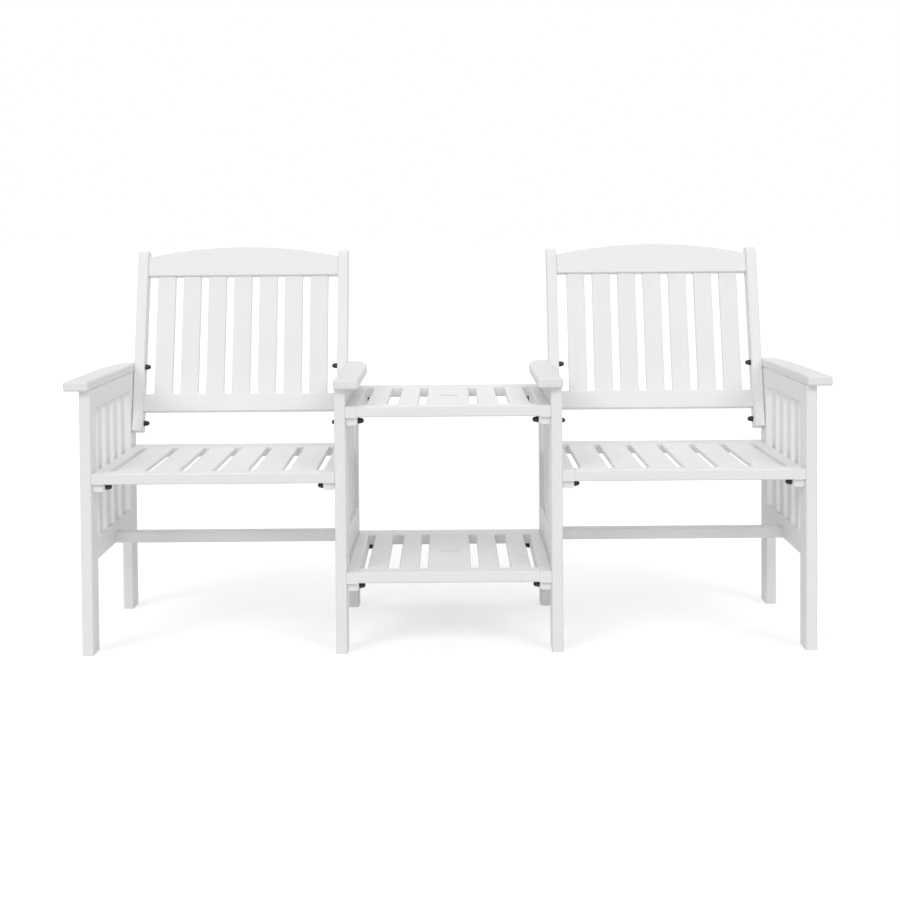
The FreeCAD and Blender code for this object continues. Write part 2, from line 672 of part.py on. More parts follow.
def hole_cap(label, top):
    """The lift-out cap over a parasol hole: a thin rim with a bevelled edge, and a hollow skirt."""
    made = new_body(label, ("0", f"{FRONT} + sizes.front_rail_width + {FLAT_SLAT_LENGTH} / 2", top))
    rim = feature(made, "AdditivePrism", "rim")
    rim.Polygon = CAP_FACE_COUNT
    bind(rim, Circumradius="sizes.cap_radius", Height="sizes.cap_thick")
    top_face = number("sizes.cap_thick") - CLOSE

    def round_the_top(start, end):
        return min(start.z, end.z) > top_face

    bevel(made, "rim_bevel", round_the_top, "sizes.cap_thick / 2")
    skirt_radius = "sizes.hole_radius - sizes.cap_play"
    for kind, name, radius in (
        ("AdditivePrism", "skirt", skirt_radius),
        ("SubtractivePrism", "hollow", f"{skirt_radius} - sizes.cap_wall"),
    ):
        ring = feature(made, kind, name)
        ring.Polygon = CAP_FACE_COUNT
        bind(ring, Circumradius=radius, Height="sizes.cap_skirt")
        place(ring, ("0", "0", "-sizes.cap_skirt"))


def bearers(label):
    """The eight bearers, two under each panel, each bolted to a front and a rear leg."""
    pattern = doc.addObject("PartDesign::Body", "bearer")
    length = "(sizes.frame_depth - 2 * sizes.bearer_inset)"
    box(pattern, "blank", ("sizes.bearer_width", length, "sizes.bearer_height"))
    along = runs_along("y")

    def lower_edge(start, end):
        return along(start, end) and start.z < CLOSE

    bevel(pattern, "lower_edges", lower_edge, "sizes.bearer_bevel")
    for name, y in (("front", LEG_MIDDLE), ("rear", f"sizes.frame_depth - {LEG_MIDDLE}")):
        at = ("0", f"{y} - sizes.bearer_inset", "sizes.bearer_height / 2")
        cut_hole(pattern, f"{name}_hole", "sizes.bearer_width", at, "sizes.bolt_radius")
    seat_sides = (
        f"-{SEAT_END}",
        f"-{SEAT_START} - sizes.bearer_width",
        SEAT_START,
        f"{SEAT_END} - sizes.bearer_width",
    )
    table_sides = (f"-{INNER_FACE}", f"{INNER_FACE} - sizes.bearer_width")
    y = f"{FRONT} + sizes.bearer_inset"
    places = []
    for bolt_up, low_xs in ((SEAT_BOLT, seat_sides), (TABLE_BOLT, table_sides), (SHELF_BOLT, table_sides)):
        places += [((x, y, f"{bolt_up} - sizes.bearer_height / 2"), UPRIGHT) for x in low_xs]
    copies(label, pattern, places)


def stretchers(label):
    """The two stretchers, each between the low side rails of one chair."""
    made = new_body(label, ("0", f"{FRONT} + sizes.stretcher_front", STRETCHER_UP))
    size = ("sizes.seat_clear", "sizes.stretcher_depth", "sizes.stretcher_thick")
    board(made, size, "x", (SEAT_START, "0", "0"))
    box(
        made,
        "stubs",
        (
            "sizes.seat_clear + 2 * sizes.stub_length",
            "sizes.stretcher_depth - 2 * sizes.tenon_shoulder",
            "sizes.tenon_thick",
        ),
        (
            f"{SEAT_START} - sizes.stub_length",
            "sizes.tenon_shoulder",
            "(sizes.stretcher_thick - sizes.tenon_thick) / 2",
        ),
    )
    depth = "(sizes.stub_length + sizes.screw_bite + sizes.mortise_spare)"
    near_x = f"{SEAT_START} - sizes.stub_length"
    far_x = f"{SEAT_END} + sizes.stub_length - {depth}"
    for name, x in (("near", near_x), ("far", far_x)):
        at = (x, "sizes.stretcher_depth / 2", "sizes.stretcher_thick / 2")
        cut_hole(made, f"{name}_screw_hole", depth, at, "sizes.screw_radius")
    add_mirror_image(made)


# Backs: two posts, an arched top rail, a low rail and seven upright slats, all leaning together


def posts(label, middle):
    """The two posts of a back, with rounded tops, bolt holes and mortises for the rails."""
    made = body_in_back(label, middle)
    start = f"(-{POST_OUTER})"
    box(made, "blank", ("sizes.post_width", "sizes.post_depth", "sizes.post_length"), (start, "0", "0"))
    across = runs_along("x")
    top = number("sizes.post_length") - CLOSE
    rear = number("sizes.post_depth") - CLOSE
    low_x = number(start)
    high_x = low_x + number("sizes.post_width")

    def top_front(start, end):
        return across(start, end) and start.z > top and start.y < CLOSE

    def top_back(start, end):
        return across(start, end) and start.z > top and start.y > rear

    def on_a_side(start, end):
        return any(abs(start.x - x) < CLOSE and abs(end.x - x) < CLOSE for x in (low_x, high_x))

    fillet(made, "brow", top_front, "sizes.post_brow")
    fillet(made, "crown", top_back, "sizes.post_crown")
    bevel(made, "arrises", on_a_side, "sizes.arris")
    rails = (
        ("low", "sizes.low_rail_up", "sizes.low_rail_height"),
        ("top", TOP_RAIL_UP, "sizes.top_rail_height"),
    )
    for name, up, height in rails:
        cut_box(
            made,
            f"{name}_mortise",
            (MORTISE_DEPTH, MORTISE_THICK, f"{height} - {MORTISE_CUT_BACK}"),
            (
                f"{start} + sizes.post_width - {MORTISE_DEPTH}",
                f"{BACK_TENON_DEEP} - sizes.joint_gap",
                f"{up} + {MORTISE_EDGE}",
            ),
        )
    low_bolt = ("low", "sizes.low_bolt_back", LOW_BOLT)
    arm_bolt = ("arm", "sizes.arm_bolt_back", ARM_BOLT)
    for name, back, height in (low_bolt, arm_bolt):
        up = f"({height} - {POST_FOOT})"
        deep = f"{back} * cos(sizes.recline) - {up} * sin(sizes.recline)"
        along = f"{back} * sin(sizes.recline) + {up} * cos(sizes.recline)"
        at = (start, deep, along)
        cut_hole(made, f"{name}_bolt_hole", "sizes.post_width", at, "sizes.bolt_radius")
    add_mirror_image(made)


def finish_back_rail(made, up, height, slat_mortise_up):
    """Add the tenons of a back rail and cut its mortises for the slats."""
    box(
        made,
        "tenons",
        (
            f"2 * {BACK_HALF} + 2 * sizes.tenon_length",
            "sizes.tenon_thick",
            f"{height} - 2 * sizes.tenon_shoulder",
        ),
        (f"-{BACK_HALF} - sizes.tenon_length", BACK_TENON_DEEP, f"{up} + sizes.tenon_shoulder"),
    )
    mortise = cut_box(
        made,
        "slat_mortise",
        (
            "sizes.back_slat_width + 2 * sizes.joint_gap",
            "sizes.back_slat_thick + 2 * sizes.joint_gap",
            SLAT_MORTISE_DEPTH,
        ),
        (f"{BACK_SLAT_START} - sizes.joint_gap", f"{BACK_SLAT_DEEP} - sizes.joint_gap", slat_mortise_up),
    )
    repeat(made, "slat_mortises", "X_Axis", BACK_SLAT_PITCH, "sizes.back_slat_count", [mortise])


def top_rail(label, middle):
    """The top rail of a back, with an arched upper edge."""
    made = body_in_back(label, middle)
    end_top = "sizes.post_length - sizes.top_rail_drop"
    arch = f"(({BACK_HALF} ^ 2 + sizes.top_rail_rise ^ 2) / (2 * sizes.top_rail_rise))"
    corners = [
        (f"-{BACK_HALF}", TOP_RAIL_UP),
        (BACK_HALF, TOP_RAIL_UP),
        (BACK_HALF, end_top),
        (f"-{BACK_HALF}", end_top),
    ]
    sketch = outline(made, "XZ_Plane", corners, 2, arch)
    sketch.setExpression("AttachmentOffset.Base.z", "-sizes.rail_recess")
    pad(made, sketch, "sizes.back_rail_thick", True)
    half = number(BACK_HALF)

    def end_to_end(start, end):
        return abs(start.x - end.x) > half and abs(start.y - end.y) < CLOSE

    bevel(made, "arrises", end_to_end, "sizes.arris")
    finish_back_rail(made, TOP_RAIL_UP, "sizes.top_rail_height", TOP_RAIL_UP)


def low_rail(label, middle):
    made = body_in_back(label, middle)
    size = (f"2 * {BACK_HALF}", "sizes.back_rail_thick", "sizes.low_rail_height")
    board(made, size, "x", (f"-{BACK_HALF}", "sizes.rail_recess", "sizes.low_rail_up"))
    mortise_up = f"{LOW_RAIL_TOP} - {SLAT_MORTISE_DEPTH}"
    finish_back_rail(made, "sizes.low_rail_up", "sizes.low_rail_height", mortise_up)


def back_slats(label, middle):
    made = body_in_back(label, middle)
    length = f"{TOP_RAIL_UP} - {LOW_RAIL_TOP} + 2 * sizes.slat_let_in"
    at = (BACK_SLAT_START, BACK_SLAT_DEEP, f"{LOW_RAIL_TOP} - sizes.slat_let_in")
    board(made, ("sizes.back_slat_width", "sizes.back_slat_thick", length), "z", at)
    repeat(made, "row", "X_Axis", BACK_SLAT_PITCH, "sizes.back_slat_count")


def back(name, middle):
    posts(f"{name}_posts", middle)
    top_rail(f"{name}_top_rail", middle)
    low_rail(f"{name}_low_rail", middle)
    back_slats(f"{name}_slats", middle)


# Fasteners: bolts with sunk heads, studs in the armrests, black cap nuts on both, and screws


def pin(name, length, radius, head_radius=None):
    """A bolt, screw or stud on +Z: any head has its underside at 0, where the shank starts."""
    body = doc.addObject("PartDesign::Body", name)
    if head_radius:
        disc = feature(body, "AdditivePrism", "head")
        disc.Polygon = HEAD_FACE_COUNT
        bind(disc, Circumradius=head_radius, Height="sizes.head_thick")
        place(disc, ("0", "0", "-sizes.head_thick"))
    shank = feature(body, "AdditivePrism", "shank")
    shank.Polygon = SHANK_FACE_COUNT
    bind(shank, Circumradius=radius, Height=length)
    return body


def cap_nut():
    """A cap nut on +Z, with its seat at 0 and a blind hole for the bolt."""
    body = doc.addObject("PartDesign::Body", "cap_nut")
    dome = feature(body, "AdditivePrism", "dome")
    dome.Polygon = DOME_FACE_COUNT
    bind(dome, Circumradius="sizes.nut_across / 2", Height="sizes.nut_height")
    top = number("sizes.nut_height") - CLOSE

    def round_the_top(start, end):
        return min(start.z, end.z) > top

    bevel(body, "bevel", round_the_top, "sizes.nut_bevel")
    hexagon = feature(body, "AdditivePrism", "hexagon")
    hexagon.Polygon = HEXAGON_FACE_COUNT
    corner_radius = f"sizes.nut_across / 2 / cos(180 / {HEXAGON_FACE_COUNT})"
    bind(hexagon, Circumradius=corner_radius, Height="sizes.nut_base")
    hole = feature(body, "SubtractivePrism", "hole")
    hole.Polygon = SHANK_FACE_COUNT
    bind(
        hole,
        Circumradius="sizes.bolt_radius + sizes.bolt_play",
        Height="sizes.nut_grip + sizes.mortise_spare",
    )
    return body


def inwards(face, distance):
    """The X at a distance from a face, in the direction of its bolts."""
    x, turn = face
    return f"{x} {'+' if turn is TOWARDS_RIGHT else '-'} ({distance})"


def fasteners():
    """Each bolt starts in one piece of wood and has its nut on the piece that it holds."""
    seat_faces = [
        (f"-{SEAT_END} - sizes.leg_thick", TOWARDS_RIGHT),
        (f"-{INNER_FACE}", TOWARDS_LEFT),
        (INNER_FACE, TOWARDS_RIGHT),
        (f"{SEAT_END} + sizes.leg_thick", TOWARDS_LEFT),
    ]
    table_faces = [(f"-{SEAT_START}", TOWARDS_RIGHT), (SEAT_START, TOWARDS_LEFT)]
    leg_middles = (f"{FRONT} + {LEG_MIDDLE}", f"{REAR_LEG} + {LEG_MIDDLE}")
    panel_spots = [(face, y, SEAT_BOLT) for face in seat_faces for y in leg_middles]
    for up in (TABLE_BOLT, SHELF_BOLT):
        panel_spots += [(face, y, up) for face in table_faces for y in leg_middles]
    low_y = f"{REAR_LEG} + sizes.low_bolt_back"
    arm_y = f"{REAR_LEG} + sizes.arm_bolt_back"
    arm_edge = "sizes.leg_thick + sizes.arm_lap"
    post_side = f"{arm_edge} + sizes.post_width"
    head = "sizes.bolt_head_radius"
    low_spots = [(face, low_y, LOW_BOLT) for face in seat_faces]
    arm_spots = [(face, arm_y, ARM_BOLT) for face in seat_faces]
    bearer_side = "sizes.leg_thick + sizes.bearer_width"
    kinds = (
        ("panel_bolts", panel_spots, "sizes.head_recess", bearer_side, head),
        ("back_bolts", low_spots, "sizes.head_recess", post_side, head),
        ("arm_bolts", arm_spots, f"{arm_edge} - sizes.arm_bolt_bite", post_side, None),
    )
    nuts = []
    for name, spots, start_in, nut_in, head_radius in kinds:
        length = f"{nut_in} - ({start_in}) + sizes.nut_grip"
        pattern = pin(f"{name}_pattern", length, "sizes.bolt_radius", head_radius)
        copies(name, pattern, [((inwards(face, start_in), y, z), face[1]) for face, y, z in spots])
        nuts += [((inwards(face, nut_in), y, z), face[1]) for face, y, z in spots]
    copies("cap_nuts", cap_nut(), nuts)
    length = "sizes.side_rail_thick - sizes.head_recess + sizes.screw_bite"
    screw = pin("stretcher_screw", length, "sizes.screw_radius", "sizes.screw_head_radius")
    y = f"{FRONT} + sizes.stretcher_front + sizes.stretcher_depth / 2"
    z = f"{STRETCHER_UP} + sizes.stretcher_thick / 2"
    spots = [((inwards(face, "sizes.head_recess"), y, z), face[1]) for face in seat_faces]
    copies("stretcher_screws", screw, spots)


FRAMES = (
    ("left_outer", f"-{SEAT_END} - sizes.leg_thick", True, False),
    ("left_inner", f"-{SEAT_START}", False, True),
    ("right_inner", INNER_FACE, True, True),
    ("right_outer", SEAT_END, False, False),
)
for frame in FRAMES:
    end_frame(*frame)
for side, sense in (("left", "-"), ("right", "")):
    seat_middle = f"{sense}({SEAT_START} + sizes.seat_clear / 2)"
    seat(f"{side}_seat", seat_middle)
    back(f"{side}_back", seat_middle)
table("table", TABLE_TOP)
table("shelf", "sizes.shelf_height")
bearers("bearers")
stretchers("stretchers")
fasteners()
doc.recompute()

for thing in doc.Objects:
    if "Invalid" in thing.State or "Error" in thing.State:
        raise RuntimeError(f"{thing.Name} didn't build")
for made in subparts:
    if made.Shape.isNull() or not made.Shape.isValid():
        raise RuntimeError(f"{made.Label} has no sound shape")
os.makedirs("parts", exist_ok=True)
for made in subparts:
    made.Shape.exportStep(f"parts/{made.Label}.step")
print(len(subparts), "sub-parts,", sum(len(made.Shape.Solids) for made in subparts), "solids")
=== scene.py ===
"""Looks of the companion seat bench: white painted timber, black cap nuts and white hole caps."""

import math

import bpy
from mathutils import Matrix, Vector


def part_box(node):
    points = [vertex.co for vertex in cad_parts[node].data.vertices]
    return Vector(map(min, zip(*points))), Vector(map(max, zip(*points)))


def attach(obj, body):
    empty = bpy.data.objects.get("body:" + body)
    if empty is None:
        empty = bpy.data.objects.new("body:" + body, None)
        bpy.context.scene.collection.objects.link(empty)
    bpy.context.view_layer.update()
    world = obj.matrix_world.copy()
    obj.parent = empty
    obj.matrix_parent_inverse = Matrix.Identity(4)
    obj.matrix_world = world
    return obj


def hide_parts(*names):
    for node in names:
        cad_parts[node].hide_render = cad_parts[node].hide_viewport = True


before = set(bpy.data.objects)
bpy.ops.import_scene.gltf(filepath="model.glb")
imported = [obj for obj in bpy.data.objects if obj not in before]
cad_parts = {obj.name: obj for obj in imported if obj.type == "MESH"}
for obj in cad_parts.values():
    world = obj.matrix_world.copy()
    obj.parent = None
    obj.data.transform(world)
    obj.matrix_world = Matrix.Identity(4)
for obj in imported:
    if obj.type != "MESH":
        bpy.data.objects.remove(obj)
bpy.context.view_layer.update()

# Legs. Eight flat boards of planed hardwood, 25 by 62 mm, on edge to the front. Each is mortised
# for the side rails, drilled for its bolts and sprayed white. The grain only just shows through.


class Socket:
    """An output of a material's node. Sums on it add Math nodes to the same material."""

    def __init__(self, tree, output=None):
        self.tree = tree
        self.output = output

    def node(self, kind, settings=None, inputs=None, out=0):
        """Add a node of a type: first its settings, then the values or links of its inputs."""
        made = self.tree.nodes.new(kind)
        for name, value in (settings or {}).items():
            setattr(made, name, value)
        for name, value in (inputs or {}).items():
            if isinstance(value, Socket):
                self.tree.links.new(value.output, made.inputs[name])
            else:
                made.inputs[name].default_value = value
        return Socket(self.tree, made.outputs[out])

    def maths(self, operation, first, second):
        return self.node("ShaderNodeMath", {"operation": operation}, {0: first, 1: second})

    def __add__(self, other):
        return self.maths("ADD", self, other)

    def __radd__(self, other):
        return self.maths("ADD", other, self)

    def __sub__(self, other):
        return self.maths("SUBTRACT", self, other)

    def __rsub__(self, other):
        return self.maths("SUBTRACT", other, self)

    def __mul__(self, other):
        return self.maths("MULTIPLY", self, other)

    def __rmul__(self, other):
        return self.maths("MULTIPLY", other, self)


PAINT_WHITE = (0.88, 0.88, 0.88, 1)
PAINT_THIN = (0.80, 0.80, 0.795, 1)
PAINT_SHEEN = 0.5
PAINT_ROUGHNESS = 0.42
BRUSH_MARKS = 0.14
GRAIN_DEPTH = 0.0004
GRAIN_STRENGTH = 0.25
BOARD_SHIFT = 9.0


def white_paint(name, grain, lean=0.0, full=PAINT_WHITE, thin=PAINT_THIN, sheen=PAINT_SHEEN):
    """Satin white paint over timber whose grain runs along one axis, on boards that lean back."""
    made = bpy.data.materials.new(name)
    made.use_nodes = True
    shader = made.node_tree.nodes["Principled BSDF"]
    shader.inputs["Specular IOR Level"].default_value = sheen
    start = Socket(made.node_tree)
    place = start.node("ShaderNodeTexCoord", out="Object")
    board = start.node("ShaderNodeNewGeometry", out="Random Per Island")
    upright = start.node("ShaderNodeMapping", {}, {"Vector": place, "Rotation": (lean, 0, 0)})
    apart = board * BOARD_SHIFT
    shift = start.node("ShaderNodeCombineXYZ", {}, {"X": apart, "Y": apart, "Z": apart})
    own = start.node("ShaderNodeVectorMath", {"operation": "ADD"}, {0: upright, 1: shift})

    def streaks(stretch, scale, detail):
        """Noise drawn out along the grain."""
        along = tuple(1 / stretch if axis == grain else 1.0 for axis in "xyz")
        drawn = start.node("ShaderNodeMapping", {}, {"Vector": own, "Scale": along})
        settings = {"Vector": drawn, "Scale": scale, "Detail": detail, "Roughness": 0.6}
        return start.node("ShaderNodeTexNoise", {}, settings)

    figure = streaks(stretch=18, scale=55, detail=3)
    pores = streaks(stretch=45, scale=420, detail=2)
    brushed = streaks(stretch=90, scale=240, detail=1)
    cloud = start.node("ShaderNodeTexNoise", {}, {"Vector": own, "Scale": 5.0, "Detail": 2.0})
    # How thin the paint looks comes from the grain, a soft cloud and the tone of each board.
    worn = 0.35 * figure + 0.25 * pores + 0.25 * cloud + 0.15 * board - 0.15
    colour = start.node(
        "ShaderNodeMix", {"data_type": "RGBA"}, {"Factor": worn, 6: full, 7: thin}, out=2
    )
    height = 0.6 * figure + 0.4 * pores
    relief = start.node(
        "ShaderNodeBump",
        {},
        {"Strength": GRAIN_STRENGTH, "Distance": GRAIN_DEPTH, "Height": height},
    )
    links = made.node_tree.links
    links.new(colour.output, shader.inputs["Base Color"])
    links.new((PAINT_ROUGHNESS + BRUSH_MARKS * brushed).output, shader.inputs["Roughness"])
    links.new(relief.output, shader.inputs["Normal"])
    return made


SEAM = 1e-5
SAME_PLANE = math.radians(1)
RUBBED_EDGE = 0.0008
RUBBED_FROM = math.radians(25)


def painted_boards(node, paint):
    """Paint the boards of a CAD node, closed up and with the corners of their bevels rubbed."""
    made = bpy.data.objects.new(node + "_painted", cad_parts[node].data.copy())
    bpy.context.scene.collection.objects.link(made)
    bpy.ops.object.select_all(action="DESELECT")
    made.select_set(True)
    bpy.context.view_layer.objects.active = made
    bpy.ops.mesh.customdata_custom_splitnormals_clear()
    bpy.ops.object.mode_set(mode="EDIT")
    bpy.ops.mesh.select_all(action="SELECT")
    bpy.ops.mesh.remove_doubles(threshold=SEAM)
    bpy.ops.mesh.dissolve_limited(angle_limit=SAME_PLANE)
    bpy.ops.object.mode_set(mode="OBJECT")
    bpy.ops.object.shade_smooth()
    rubbed = made.modifiers.new("rubbed_round", "BEVEL")
    rubbed.width = RUBBED_EDGE
    rubbed.segments = 2
    rubbed.limit_method = "ANGLE"
    rubbed.angle_limit = RUBBED_FROM
    rubbed.harden_normals = True
    bpy.ops.object.modifier_apply(modifier=rubbed.name)
    made.data.materials.clear()
    made.data.materials.append(paint)
    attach(made, "bench")
    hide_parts(node)


FRAME_NAMES = ("left_outer", "left_inner", "right_inner", "right_outer")
paint_up = white_paint("white_paint_grain_upright", "z")
for name in FRAME_NAMES:
    for leg in ("front_leg", "rear_leg"):
        painted_boards(f"{name}_{leg}", paint_up)

# Side rails and slats. An upper and a lower rail are tenoned between each pair of legs, and four
# thin upright slats are let into them, which closes the end frame like a small fence.

paint_deep = white_paint("white_paint_grain_front_to_back", "y")
for name in FRAME_NAMES:
    painted_boards(f"{name}_upper_rail", paint_deep)
    painted_boards(f"{name}_lower_rail", paint_deep)
    painted_boards(f"{name}_slats", paint_up)

# Armrests. One board each, laid flat on the legs with its overhang outwards, sawn in a sweep at
# the back to a rounded corner, and eased round both faces. Their paint is a little less shiny,
# and its colour is painted a shade darker than the other boards' white, as painted shade.

# The armrests' two whites are a shade darker than those of the other boards: painted shade for how
# the light falls on the armrests.
ARMREST_WHITE_SHADED = (0.87, 0.87, 0.87, 1)
ARMREST_THIN_SHADED = (0.76, 0.76, 0.755, 1)
ARMREST_SHEEN = 0.1
paint_shaded_armrests = white_paint(
    "white_paint_shaded_for_armrests", "y", full=ARMREST_WHITE_SHADED, thin=ARMREST_THIN_SHADED, sheen=ARMREST_SHEEN
)
for name in FRAME_NAMES:
    painted_boards(f"{name}_armrest", paint_shaded_armrests)

# Seats. A front and a rear rail are tenoned into two side boards, with six broad slats between
# them on tongues. The grain of the rails runs across the seat, that of the rest front to back.

paint_across = white_paint("white_paint_grain_across", "x")
for side in ("left", "right"):
    painted_boards(f"{side}_seat_front_rail", paint_across)
    painted_boards(f"{side}_seat_rear_rail", paint_across)
    painted_boards(f"{side}_seat_side_boards", paint_deep)
    painted_boards(f"{side}_seat_slats", paint_deep)

# Table top and shelf. Both are made like a seat, with four narrow slats and a broad board in the
# middle, which has the hole for a parasol's pole.

for panel in ("table", "shelf"):
    painted_boards(f"{panel}_front_rail", paint_across)
    painted_boards(f"{panel}_rear_rail", paint_across)
    painted_boards(f"{panel}_side_boards", paint_deep)
    painted_boards(f"{panel}_slats", paint_deep)
    painted_boards(f"{panel}_centre_board", paint_deep)

# Bearers. Eight battens under the side boards of the seats, the table and the shelf. Each is
# bolted to a front and a rear leg and carries its panel.

painted_boards("bearers", paint_deep)

# Stretchers. One board across each chair, with stub tenons in the low side rails and a screw
# through each rail into its end.

painted_boards("stretchers", paint_across)

# Backs. Two posts each, with rounded tops, and between them an arched top rail, a low rail and
# seven upright slats. All of it leans back in one plane, and so does its grain.

BACK_LEAN = math.radians(15.3)
paint_leaning = white_paint("white_paint_grain_leaning", "z", lean=BACK_LEAN)
for side in ("left", "right"):
    painted_boards(f"{side}_back_posts", paint_leaning)
    painted_boards(f"{side}_back_slats", paint_leaning)
    painted_boards(f"{side}_back_top_rail", paint_across)
    painted_boards(f"{side}_back_low_rail", paint_across)

# Parasol hole caps. Two discs moulded in white plastic, with a rounded rim, a shallow dish in the
# top and a skirt below that sits in the hole. Nothing holds them, so they lift out by hand.

PLASTIC_WHITE = (0.84, 0.84, 0.83, 1)
PLASTIC_DULL = (0.80, 0.80, 0.79, 1)
PLASTIC_SHEEN = 0.4
PLASTIC_ROUGHNESS = 0.38
white_plastic = bpy.data.materials.new("white_moulded_plastic")
white_plastic.use_nodes = True
shader = white_plastic.node_tree.nodes["Principled BSDF"]
shader.inputs["Specular IOR Level"].default_value = PLASTIC_SHEEN
start = Socket(white_plastic.node_tree)
place = start.node("ShaderNodeTexCoord", out="Object")
flow = start.node("ShaderNodeTexNoise", {}, {"Vector": place, "Scale": 60.0, "Detail": 2.0})
spark = start.node("ShaderNodeTexNoise", {}, {"Vector": place, "Scale": 2400.0, "Detail": 1.0})
colour = start.node(
    "ShaderNodeMix",
    {"data_type": "RGBA"},
    {"Factor": flow, 6: PLASTIC_WHITE, 7: PLASTIC_DULL},
    out=2,
)
relief = start.node(
    "ShaderNodeBump", {}, {"Strength": 0.25, "Distance": 0.00005, "Height": spark}
)
links = white_plastic.node_tree.links
links.new(colour.output, shader.inputs["Base Color"])
links.new((PLASTIC_ROUGHNESS + 0.12 * flow).output, shader.inputs["Roughness"])
links.new(relief.output, shader.inputs["Normal"])

CAP_RIM = 0.022
CAP_RIM_THICK = 0.002
CAP_SKIRT_OUTSIDE = 0.0190
CAP_SKIRT_WALL = 0.0018
CAP_SKIRT_DEPTH = 0.0098
CAP_DISH = 0.0125
CAP_DISH_SLOPE = 0.0012
CAP_DISH_DEPTH = 0.0005
CAP_EDGE = 0.0006
CAP_SIDES = 72
LEVEL_FACE = 0.9
CORNER_FROM = math.radians(40)
SMOOTH_BELOW = math.radians(35)


def pick_ends(made, height):
    """Leave a piece in edit mode with only its flat faces at one height selected."""
    bpy.ops.object.mode_set(mode="EDIT")
    bpy.ops.mesh.select_mode(type="FACE")
    bpy.ops.mesh.select_all(action="DESELECT")
    bpy.ops.object.mode_set(mode="OBJECT")
    for face in made.data.polygons:
        level = abs(face.normal.z) > LEVEL_FACE
        face.select = level and abs(face.center.z - height) < SEAM
    bpy.ops.object.mode_set(mode="EDIT")


bpy.ops.object.select_all(action="DESELECT")
bpy.ops.mesh.primitive_cylinder_add(
    vertices=CAP_SIDES, radius=CAP_RIM, depth=CAP_RIM_THICK, location=(0, 0, CAP_RIM_THICK / 2)
)
cap = bpy.context.object
bpy.ops.object.transform_apply(location=True, rotation=True, scale=True)
pick_ends(cap, CAP_RIM_THICK)
bpy.ops.mesh.inset(thickness=CAP_RIM - CAP_DISH - CAP_DISH_SLOPE)
bpy.ops.mesh.inset(thickness=CAP_DISH_SLOPE, depth=-CAP_DISH_DEPTH)
pick_ends(cap, 0)
bpy.ops.mesh.inset(thickness=CAP_RIM - CAP_SKIRT_OUTSIDE)
bpy.ops.mesh.extrude_region_move(TRANSFORM_OT_translate={"value": (0, 0, -CAP_SKIRT_DEPTH)})
bpy.ops.mesh.inset(thickness=CAP_SKIRT_WALL)
bpy.ops.mesh.extrude_region_move(TRANSFORM_OT_translate={"value": (0, 0, CAP_SKIRT_DEPTH)})
bpy.ops.object.mode_set(mode="OBJECT")
moulded = cap.modifiers.new("moulded_edges", "BEVEL")
moulded.width = CAP_EDGE
moulded.segments = 3
moulded.limit_method = "ANGLE"
moulded.angle_limit = CORNER_FROM
bpy.ops.object.modifier_apply(modifier=moulded.name)
bpy.ops.object.shade_smooth_by_angle(angle=SMOOTH_BELOW)
cap.data.materials.append(white_plastic)
for panel in ("table", "shelf"):
    low, high = (Vector(corner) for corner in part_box(f"{panel}_hole_cap"))
    made = bpy.data.objects.new(f"{panel}_parasol_hole_cap", cap.data.copy())
    bpy.context.scene.collection.objects.link(made)
    middle = (low + high) / 2
    made.data.transform(Matrix.Translation((middle.x, middle.y, high.z - CAP_RIM_THICK)))
    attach(made, f"{panel}_cap")
    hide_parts(f"{panel}_hole_cap")
bpy.data.objects.remove(cap)

# Bolts, screws and cap nuts. Steel bolts with flat heads, sunk in the outer faces of the wood, and
# a black cap nut on the inner end of each. Screws with smaller heads hold the stretchers.


def satin_metal(name, light, dark, metallic, roughness):
    """A coat on metal, with fine grit in it and a faint change of tone."""
    made = bpy.data.materials.new(name)
    made.use_nodes = True
    shader = made.node_tree.nodes["Principled BSDF"]
    shader.inputs["Metallic"].default_value = metallic
    start = Socket(made.node_tree)
    place = start.node("ShaderNodeTexCoord", out="Object")
    tone = start.node("ShaderNodeTexNoise", {}, {"Vector": place, "Scale": 300.0, "Detail": 3.0})
    grit = start.node("ShaderNodeTexNoise", {}, {"Vector": place, "Scale": 5200.0, "Detail": 1.0})
    colour = start.node(
        "ShaderNodeMix", {"data_type": "RGBA"}, {"Factor": tone, 6: light, 7: dark}, out=2
    )
    relief = start.node(
        "ShaderNodeBump", {}, {"Strength": 0.3, "Distance": 0.00005, "Height": grit}
    )
    links = made.node_tree.links
    links.new(colour.output, shader.inputs["Base Color"])
    links.new((roughness + 0.15 * tone).output, shader.inputs["Roughness"])
    links.new(relief.output, shader.inputs["Normal"])
    return made


BLACK = (0.012, 0.012, 0.013, 1)
BLACK_WORN = (0.02, 0.02, 0.02, 1)
ZINC = (0.62, 0.62, 0.63, 1)
ZINC_DULL = (0.5, 0.5, 0.51, 1)
black_coat = satin_metal("black_coated_steel", BLACK, BLACK_WORN, metallic=0, roughness=0.3)
zinc_coat = satin_metal("zinc_plated_steel", ZINC, ZINC_DULL, metallic=1, roughness=0.28)
RIM_SHARE = 0.95


